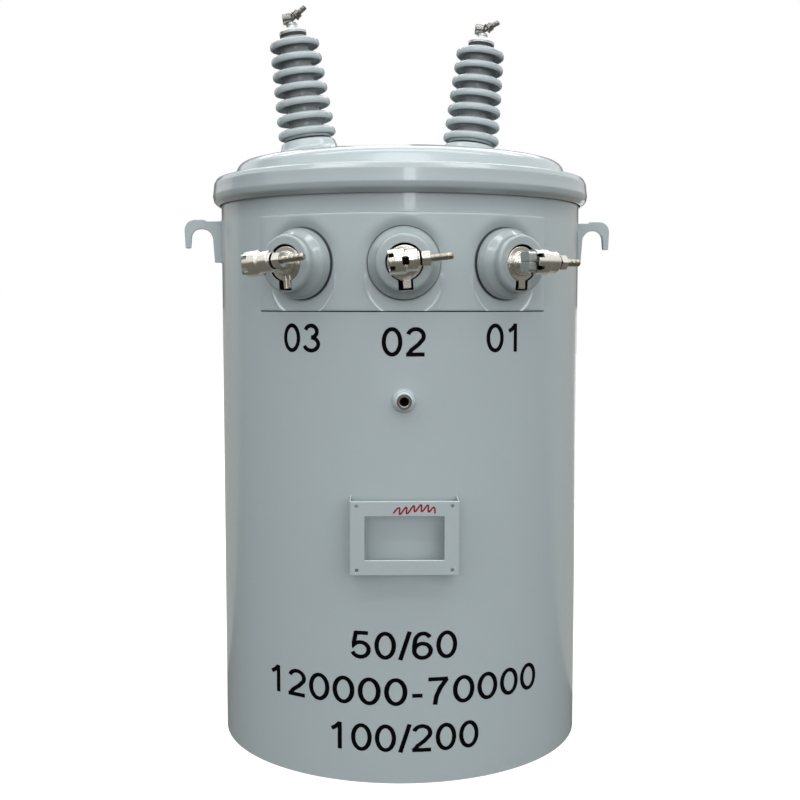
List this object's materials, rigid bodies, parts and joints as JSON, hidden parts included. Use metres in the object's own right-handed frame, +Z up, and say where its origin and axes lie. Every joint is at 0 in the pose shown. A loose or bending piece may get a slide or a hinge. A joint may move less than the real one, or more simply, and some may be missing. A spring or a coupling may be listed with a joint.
{
  "type": "single-phase pole-mounted distribution transformer",
  "caption": "Round steel tank with a domed lid in a clamping band, sheds-and-core porcelain bushings on the lid, and short bushings with crowned clamps on a pressed front panel.",
  "frame": {"origin": "centre of the tank's lower edge, on the floor and on the tank's axis", "axes": "+Z up the tank's axis; -Y towards the front, where the low-voltage bushings are; +X to the right seen from the front"},
  "size_m": [0.676, 0.7205, 1.1478],
  "materials": {
    "tank_paint": "gloss light grey enamel",
    "porcelain": "glazed light grey porcelain",
    "epoxy": "moulded light grey epoxy",
    "terminal_metal": "tin-plated bronze, bright",
    "bolt_steel": "plated steel",
    "rubber": "black nitrile",
    "core_steel": "wound electrical steel",
    "coil_wrap": "varnished paper wrap",
    "boss_steel": "bare steel"
  },
  "bodies": {
    "root": {"band_bolt": "bolt_steel", "coil": "coil_wrap", "core": "core_steel", "cover": "tank_paint", "cover_band": "tank_paint", "cover_gasket": "rubber", "ground_boss": "boss_steel", "hanger_lower": "tank_paint", "hanger_upper": "tank_paint", "hv_bolt_left": "terminal_metal", "hv_bolt_right": "terminal_metal", "hv_bushing_left": "porcelain", "hv_bushing_right": "porcelain", "hv_cap_left": "terminal_metal", "hv_cap_right": "terminal_metal", "hv_cap_seal_left": "rubber", "hv_cap_seal_right": "rubber", "hv_clamp_left": "terminal_metal", "hv_clamp_right": "terminal_metal", "hv_gasket_left": "rubber", "hv_gasket_right": "rubber", "lifting_hook_left": "tank_paint", "lifting_hook_right": "tank_paint", "lv_bushing_1": "epoxy", "lv_bushing_2": "epoxy", "lv_bushing_3": "epoxy", "lv_clamp_1": "terminal_metal", "lv_clamp_2": "terminal_metal", "lv_clamp_3": "terminal_metal", "lv_eyebolt_1": "terminal_metal", "lv_eyebolt_2": "terminal_metal", "lv_eyebolt_3": "terminal_metal", "lv_gasket_1": "rubber", "lv_gasket_2": "rubber", "lv_gasket_3": "rubber", "lv_nut_1": "terminal_metal", "lv_nut_2": "terminal_metal", "lv_nut_3": "terminal_metal", "lv_panel": "tank_paint", "lv_stem_1": "terminal_metal", "lv_stem_2": "terminal_metal", "lv_stem_3": "terminal_metal", "nameplate_bracket": "tank_paint", "tank_bottom": "tank_paint", "tank_wall": "tank_paint"}
  },
  "joints": []
}
